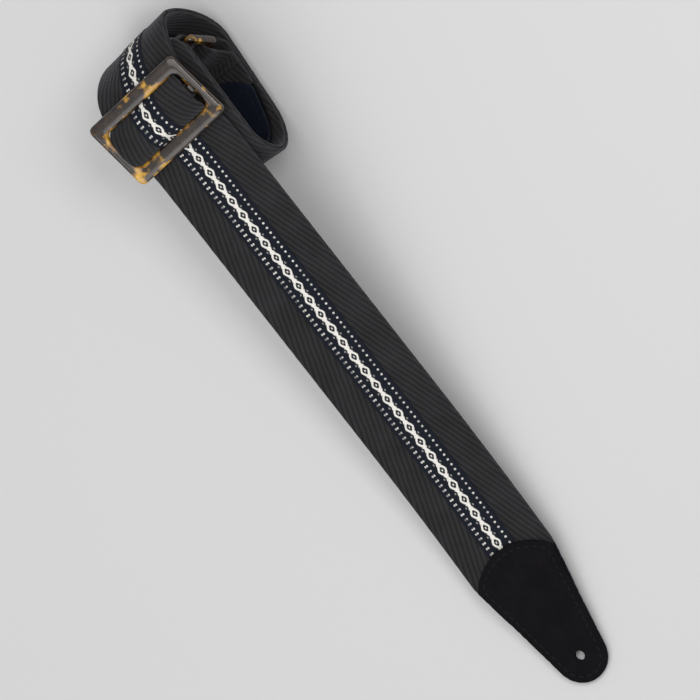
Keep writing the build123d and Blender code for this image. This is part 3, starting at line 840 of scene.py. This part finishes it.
FOLD_ROUND, FOLD_CORNER, FOLD_W, FOLD_T = (6.6, 4.1), 1.4, 49.3, 1.35
bar_middle = SLIDER_LIFT + SLIDER_T - CENTRE_BAR_T / 2
ring = rounded_rectangle(*FOLD_ROUND, FOLD_CORNER, 5, 3)
fold_sections = curve_sections(ring + ring[:1], side=-1, closed=True, lift=bar_middle)
fold_piece = strip_mesh("slider_fold_webbing", fold_sections, FOLD_W, FOLD_T, WEBBING, start=3.0)
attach(fold_piece, "slider")
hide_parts("slider_end_fold")

# The crest over the centre bar, from side to side of the slider's window
crest_line = [
    (-11.3, 2.2), (-9.6, 4.6), (-6.5, 7.1), (-3.2, 8.5), (0.0, 9.2),
    (3.3, 9.45), (6.3, 8.9), (8.8, 7.0), (10.6, 4.4), (11.3, 2.2),
]


def smooth_line(points, per=6):
    """A Catmull-Rom curve through points."""
    out = []
    ends = [(2 * points[0][0] - points[1][0], 2 * points[0][1] - points[1][1])]
    ends += points + [(2 * points[-1][0] - points[-2][0], 2 * points[-1][1] - points[-2][1])]
    for i in range(1, len(ends) - 2):
        p0, p1, p2, p3 = ends[i - 1:i + 3]
        for k in range(per):
            t = k / per
            out.append(tuple(
                0.5 * (2 * b + (c - a) * t + (2 * a - 5 * b + 4 * c - d) * t * t
                       + (3 * b - a - 3 * c + d) * t**3)
                for a, b, c, d in zip(p0, p1, p2, p3)
            ))
    return out + [points[-1]]


# The crest is narrower where it enters the window, and its pattern continues the strap's
CREST_LOW_W, CREST_WIDENS, CREST_FROM_Z, CREST_RISE = 46.0, 4.4, 2.7, 4.0
CREST_ALONG, CREST_RIBBON_ALONG = 431.0, 433.2
crest_points = smooth_line(crest_line)
crest_sections = curve_sections(crest_points)
crest_widths = [
    CREST_LOW_W + CREST_WIDENS * min(max((z - CREST_FROM_Z) / CREST_RISE, 0.0), 1.0)
    for x, z in crest_points
]
crest_piece = strip_mesh("crest_webbing", crest_sections, WEB_W, WEB_T, WEBBING, start=CREST_ALONG,
                         widths=crest_widths)
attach(crest_piece, "slider")
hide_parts("webbing_crest")
crest_ribbon = strip_mesh("crest_ribbon", crest_sections[2:-2], RIBBON_W, RIBBON_T, RIBBON,
                          start=CREST_RIBBON_ALONG, **RIBBON_EDGE)
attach(crest_ribbon, "slider")
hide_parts("pattern_ribbon_crest")

# ---------------------------------------------------------------- rectangular loop
loop_y = across(LOOP_LAY)
loop_x = Vector((cos(LOOP_HEADING), 0, sin(LOOP_HEADING)))
loop_x = (loop_x - loop_y * loop_x.dot(loop_y)).normalized()
loop_z = loop_x.cross(loop_y)
loop_origin = Vector(LOOP_AT)


def loop_place(x, y, z):
    return loop_origin + loop_x * x + loop_y * y + loop_z * z


loop_piece = frame_mesh(
    "loop_moulding", loop_place, size=(LOOP_W, LOOP_L), corner=3.0,
    window=(LOOP_W - 2 * LOOP_BAR, LOOP_L - 2 * LOOP_SIDE), window_corner=1.5,
    low=-LOOP_T / 2, high=LOOP_T / 2, power=3.2, material=TORTOISE,
)
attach(loop_piece, "loop")
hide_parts("rectangular_loop")

# ---------------------------------------------------------------- leather end tabs
shoulder_x, shoulder_y = HOLE - TAB_SHOULDER[0], TAB_SHOULDER[1]
shoulder_angle = atan2(TAB_SHOULDER[1], -TAB_SHOULDER[0])
tangent = shoulder_angle - acos(TAB_TIP_R / hypot(*TAB_SHOULDER))
tangent_x, tangent_y = HOLE + TAB_TIP_R * cos(tangent), TAB_TIP_R * sin(tangent)


def leather_inside(x):
    """Height of a leather's inner side above the tab's middle, lower past the end of the webbing."""
    return INSIDE_WEB + (INSIDE_TIP - INSIDE_WEB) * ease((x - WEB_END - 0.5) / WEB_TAPER)


def half_width(x):
    if x < tangent_x:
        return shoulder_y + (tangent_y - shoulder_y) * (x - shoulder_x) / (tangent_x - shoulder_x)
    return sqrt(max(TAB_TIP_R**2 - (x - HOLE) ** 2, 0.01))


def front_place(x, y, h):
    return hinge_point + tab_ahead * x + Vector((0, y, 0)) + tab_up * h


def rear_place(x, y, h):
    middle, width, up, ahead = rear_section(x)
    return middle + width * y + up * h


# A tab's rows stand closer at its crown and its columns closer at its sides; all in mm
CROWN_ROWS = (0.0, 0.12, 0.35, 0.8, 1.6, 2.4, 2.8, 3.1, 3.4, 3.8, 4.6, 6.0, 8.0, 10.0, 12.0, 14.0)
SIDE_COLUMNS = (0.0, 0.12, 0.35, 0.8, 1.6, 2.4, 2.8, 3.1, 3.4, 3.8, 4.8)
ROW_STEP, TIP_ROWS, MIDDLE_COLUMNS, SLIM_HALF_WIDTH, CROWN_REACH = 1.4, 34, 16, 7.0, 22.0
EDGE_R, EDGE_BELOW = 0.55, 0.4
GROOVE_DEPTH, GROOVE_W, HOLE_DIP, HOLE_DIP_W, UNEVEN = 0.16, 0.45, 0.3, 0.7, 0.10
HOLE_SIDES, CUTTER_REACH = 48, 6.0


def tab_outline():
    """Points round a leather's edge, from which each vertex's distance to the edge is taken."""
    outline = []
    for k in range(61):
        y = shoulder_y * (k / 30 - 1)
        outline.append((CROWN + crown_drop(y), y))
    for k in range(90):
        x = shoulder_x + (TIP - shoulder_x) * (1 - (1 - k / 89) ** 1.8)
        outline += [(x, half_width(x)), (x, -half_width(x))]
    return outline


def tab_rows():
    """Places along a tab's sides, each with the share of the crown's curve that its row follows."""
    distances = list(CROWN_ROWS)
    count = int((tangent_x - shoulder_x - CROWN_ROWS[-1]) / ROW_STEP)
    distances += [CROWN_ROWS[-1] + ROW_STEP * k for k in range(1, count)]
    rows = [(shoulder_x + d, max(0.0, 1 - d / CROWN_REACH)) for d in distances]
    cosine = (rows[-1][0] - HOLE) / TAB_TIP_R
    angle = acos(cosine) if abs(cosine) < 1 else pi * 0.98
    rows += [(HOLE + TAB_TIP_R * cos(angle * (1 - k / TIP_ROWS)), 0.0) for k in range(1, TIP_ROWS + 1)]
    return rows


def tab_points():
    """Rows of x, y and distance from the edge, over one leather."""
    outline = tab_outline()
    points = []
    for side_x, share in tab_rows():
        w = half_width(side_x)
        edge = [inset * min(1.0, w / SLIM_HALF_WIDTH) for inset in SIDE_COLUMNS]
        inner = w - edge[-1]
        ys = [-w + inset for inset in edge]
        ys += [(-w + edge[-1]) + inner * 2 * k / MIDDLE_COLUMNS for k in range(1, MIDDLE_COLUMNS)]
        ys += [w - inset for inset in reversed(edge)]
        row = []
        for y in ys:
            x = side_x - (crown_back - crown_drop(min(abs(y) * shoulder_y / w, shoulder_y))) * share
            row.append((x, y, min(hypot(x - ox, y - oy) for ox, oy in outline)))
        points.append(row)
    return points


TAB_POINTS = tab_points()


def cut_hole(obj, place):
    """The punched button hole, cut square to the tab at its middle."""
    middle = place(HOLE, 0, 0)
    along, over, off = (
        (place(HOLE + x, y, h) - middle).normalized() for x, y, h in ((1, 0, 0), (0, 1, 0), (0, 0, 1))
    )
    verts = []
    for k in range(HOLE_SIDES):
        a = 2 * pi * k / HOLE_SIDES
        for h in (-CUTTER_REACH, CUTTER_REACH):
            verts.append(middle + along * (HOLE_R * cos(a)) + over * (HOLE_R * sin(a)) + off * h)
    faces = []
    for k in range(HOLE_SIDES):
        l = (k + 1) % HOLE_SIDES
        faces.append((2 * k, 2 * l, 2 * l + 1, 2 * k + 1))
    faces.append(tuple(2 * k for k in range(HOLE_SIDES)))
    faces.append(tuple(2 * k + 1 for k in reversed(range(HOLE_SIDES))))
    cutter = new_object(obj.name + "_cutter", verts, faces)
    face_outward(cutter)
    modifier = obj.modifiers.new("hole", "BOOLEAN")
    modifier.operation, modifier.object, modifier.solver = "DIFFERENCE", cutter, "EXACT"
    bpy.context.view_layer.update()
    done = bpy.data.meshes.new_from_object(obj.evaluated_get(bpy.context.evaluated_depsgraph_get()))
    obj.modifiers.clear()
    obj.data = done
    bpy.data.objects.remove(cutter)
    done.polygons.foreach_set("use_smooth", [True] * len(done.polygons))
    done.set_sharp_from_angle(angle=radians(45))


def tab_mesh(name, place, side, material, body, replaced, groove=True):
    """One leather: rounded cut edges, and dips along the stitches and round the hole."""
    verts, uvs = [], []
    for outer in (True, False):
        for x, y, d in (point for row in TAB_POINTS for point in row):
            drop = EDGE_R - sqrt(max(0.0, EDGE_R**2 - (EDGE_R - d) ** 2)) if d < EDGE_R else 0.0
            if outer:
                h = leather_inside(x) + LEATHER_T - drop
                if groove:
                    h -= GROOVE_DEPTH * exp(-((d - STITCH_IN) / GROOVE_W) ** 2)
                h -= HOLE_DIP * exp(-max(hypot(x - HOLE, y) - HOLE_R, 0.0) / HOLE_DIP_W)
                h += UNEVEN * noise.noise(Vector((x * 0.11, y * 0.11, 4.0 + side)))
            else:
                h = leather_inside(x) + drop * EDGE_BELOW
            verts.append(place(x, y, side * h))
            uvs.append((x, y))
    rows, columns = len(TAB_POINTS), len(TAB_POINTS[0])
    n = rows * columns
    faces = []
    for i in range(rows - 1):
        for j in range(columns - 1):
            a, b = i * columns + j, (i + 1) * columns + j
            faces.append((a, a + 1, b + 1, b))
            faces.append((n + a, n + b, n + b + 1, n + a + 1))
    rim = list(range(columns))
    rim += [i * columns + columns - 1 for i in range(1, rows)]
    rim += [(rows - 1) * columns + j for j in reversed(range(columns - 1))]
    rim += [i * columns for i in reversed(range(1, rows - 1))]
    for a, b in zip(rim, rim[1:] + rim[:1]):
        faces.append((a, b, n + b, n + a))
    obj = new_object(name, verts, faces, uvs, material)
    face_outward(obj, merge=0.00001)
    cut_hole(obj, place)
    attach(obj, body)
    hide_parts(replaced)
    return obj


tab_mesh("front_leather_face", front_place, 1, SUEDE, "front_tab", "front_tab_face")
tab_mesh("front_leather_backing", front_place, -1, LINING, "front_tab", "front_tab_backing")
tab_mesh("rear_leather_face", rear_place, -1, SUEDE, "roll", "rear_tab_face", groove=False)
tab_mesh("rear_leather_backing", rear_place, 1, LINING, "roll", "rear_tab_backing")


# ---------------------------------------------------------------- stitching
STITCH_L, STITCH_W, STITCH_H = 2.9, 0.62, 0.5
STITCH_RINGS, STITCH_SIDES, STITCH_SINK, LEAN = 9, 8, 0.16, 0.10
SIDE_END_GAP, CROWN_END_GAP = 3.6, 5.2
ROW_INSET, RIBBON_CLEAR = 3.0, RIBBON_W / 2 + 2.0


def stitch_spots():
    """Places and directions of a tab's stitches: both sides, the tip and the crown."""
    spots = []
    inset_r = TAB_TIP_R - STITCH_IN
    side_angle = atan2(shoulder_y - tangent_y, shoulder_x - tangent_x)
    side_length = hypot(shoulder_x - tangent_x, shoulder_y - tangent_y) - SIDE_END_GAP
    count = round(side_length / STITCH_PITCH)
    for k in range(count + 1):
        along = side_length * k / count
        x = tangent_x - STITCH_IN * cos(tangent) + along * cos(side_angle)
        y = tangent_y - STITCH_IN * sin(tangent) + along * sin(side_angle)
        spots += [(x, y, side_angle), (x, -y, -side_angle)]
    turns = round(2 * tangent * inset_r / STITCH_PITCH)
    for k in range(1, turns):
        angle = tangent - 2 * tangent * k / turns
        spots.append((HOLE + inset_r * cos(angle), inset_r * sin(angle), angle + pi / 2))
    crown_in = crown_r - STITCH_IN
    spread = asin((shoulder_y - CROWN_END_GAP) / crown_in)
    count = round(2 * spread * crown_in / STITCH_PITCH)
    for k in range(count + 1):
        angle = spread - 2 * spread * k / count
        spots.append((CROWN + crown_r - crown_in * cos(angle), crown_in * sin(angle), pi / 2 - angle))
    return spots


def stitches(name, spots, body, replaced, thread=THREAD):
    """Short rounded threads; a spot is a place on the surface, the thread's direction and the normal."""
    verts, faces = [], []
    for number, (at, ahead, up) in enumerate(spots):
        side = up.cross(ahead).normalized()
        go = (ahead + side * (LEAN * sin(number * 7.3))).normalized()
        side = up.cross(go).normalized()
        base = len(verts)
        for i in range(STITCH_RINGS):
            t = -1 + 2 * i / (STITCH_RINGS - 1)
            r = max((1 - abs(t) ** 4) ** 0.5, 0.05)
            for k in range(STITCH_SIDES):
                a = 2 * pi * k / STITCH_SIDES
                h = r * STITCH_H / 2 * sin(a) + 0.02 - STITCH_SINK * t * t
                verts.append(at + go * (t * STITCH_L / 2) + side * (r * STITCH_W / 2 * cos(a)) + up * h)
        for i in range(STITCH_RINGS - 1):
            a, b = base + i * STITCH_SIDES, base + (i + 1) * STITCH_SIDES
            for k in range(STITCH_SIDES):
                l = (k + 1) % STITCH_SIDES
                faces.append((a + k, a + l, b + l, b + k))
        last = base + (STITCH_RINGS - 1) * STITCH_SIDES
        faces.append(tuple(base + k for k in reversed(range(STITCH_SIDES))))
        faces.append(tuple(last + k for k in range(STITCH_SIDES)))
    obj = new_object(name, verts, faces, None, thread)
    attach(obj, body)
    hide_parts(replaced)
    return obj


def tab_spots(place, side):
    spots = []
    for x, y, angle in stitch_spots():
        h = side * (leather_inside(x) + LEATHER_T - 0.1)
        at = place(x, y, h)
        go = (place(x + 0.5 * cos(angle), y + 0.5 * sin(angle), h) - at).normalized()
        up = (place(x, y, h + side * 0.5) - at).normalized()
        spots.append((at, go, up))
    return spots


stitches("front_stitches", tab_spots(front_place, 1), "front_tab", "front_tab_stitching")
stitches("rear_stitches", tab_spots(rear_place, 1), "roll", "rear_tab_stitching", NAVY_THREAD)


def row_spots(piece):
    """A row of stitches across the webbing, on each side of the ribbon."""
    middle, width, up, ahead = piece
    length = WEB_W - 2 * ROW_INSET
    count = round(length / STITCH_PITCH)
    out = []
    for k in range(count + 1):
        y = (k / count - 0.5) * length
        if abs(y) > RIBBON_CLEAR:
            out.append((middle + width * y + up * (WEB_T / 2 + 0.02), width, up))
    return out


SEAM_IN = 3.0
tail_distances = distances_of(tail_path)
tail_at = min(range(len(tail_path)), key=lambda i: abs(tail_distances[i] - SEAM_IN))
stitches("tail_fold_stitches", row_spots(tail_strip[tail_at]), "roll", "tail_fold_stitching")
return_seam = row_spots(below_run(SLIDER_AT[0] - SEAM_IN))
stitches("return_fold_stitches", return_seam, "roll", "return_fold_stitching")

# ---------------------------------------------------------------- camera, light and floor
# The camera stands at the +y side, high up, and is rolled about its line of sight
ELEVATION, ROLL = radians(65.0), radians(235.84)
LOOK_AT, DISTANCE, VIEW_W = Vector((-6.14, 7.17, 40.56)) * MM, 1.5, 0.34285
back = Vector((0, cos(ELEVATION), sin(ELEVATION)))
level_right = Vector((-1, 0, 0))
level_up = back.cross(level_right)
right = level_right * cos(ROLL) + level_up * sin(ROLL)
above = level_up * cos(ROLL) - level_right * sin(ROLL)
camera = bpy.data.objects.new("camera", bpy.data.cameras.new("camera"))
camera.data.type = "ORTHO"
camera.data.ortho_scale = VIEW_W
camera.data.clip_end = 20.0
facing = Matrix((right, above, back)).transposed().to_4x4()
camera.matrix_world = Matrix.Translation(LOOK_AT + back * DISTANCE) @ facing
scene.collection.objects.link(camera)
scene.camera = camera
scene.view_settings.view_transform = "Standard"

FLOOR_GREY, STUDIO_LIGHT = 0.50, 0.55
floor_mesh = bpy.data.meshes.new("floor")
floor_mesh.from_pydata([(-3, -3, 0), (3, -3, 0), (3, 3, 0), (-3, 3, 0)], [], [(0, 1, 2, 3)])
floor = bpy.data.objects.new("floor", floor_mesh)
scene.collection.objects.link(floor)
floor_mat, _, floor_shader = material("floor")
floor_shader.inputs["Base Color"].default_value = (FLOOR_GREY, FLOOR_GREY, FLOOR_GREY, 1.0)
floor_shader.inputs["Roughness"].default_value = 0.9
floor_shader.inputs["Specular IOR Level"].default_value = 0.1
floor_mesh.materials.append(floor_mat)

world = bpy.data.worlds.new("studio")
scene.world = world
world.use_nodes = True
background = world.node_tree.nodes["Background"]
background.inputs["Color"].default_value = (1.0, 1.0, 1.0, 1.0)
background.inputs["Strength"].default_value = STUDIO_LIGHT


def area_light(name, place, aim, size, power):
    """A rectangular light; places and size in metres, power in watts."""
    light = bpy.data.lights.new(name, "AREA")
    light.shape, light.size, light.size_y, light.energy = "RECTANGLE", size[0], size[1], power
    obj = bpy.data.objects.new(name, light)
    direction = Vector(aim) - Vector(place)
    obj.rotation_euler = direction.to_track_quat("-Z", "Y").to_euler()
    obj.location = place
    scene.collection.objects.link(obj)
    return obj


area_light("key", (-0.2, 1.1, 1.3), (0, 0, 0.02), (1.0, 0.6), 13.0)
area_light("fill", (0.9, -0.9, 1.2), (0, 0, 0.02), (1.2, 1.0), 8.0)
area_light("top", (-0.3, 0.0, 1.6), (-0.05, 0, 0), (1.4, 1.4), 12.0)
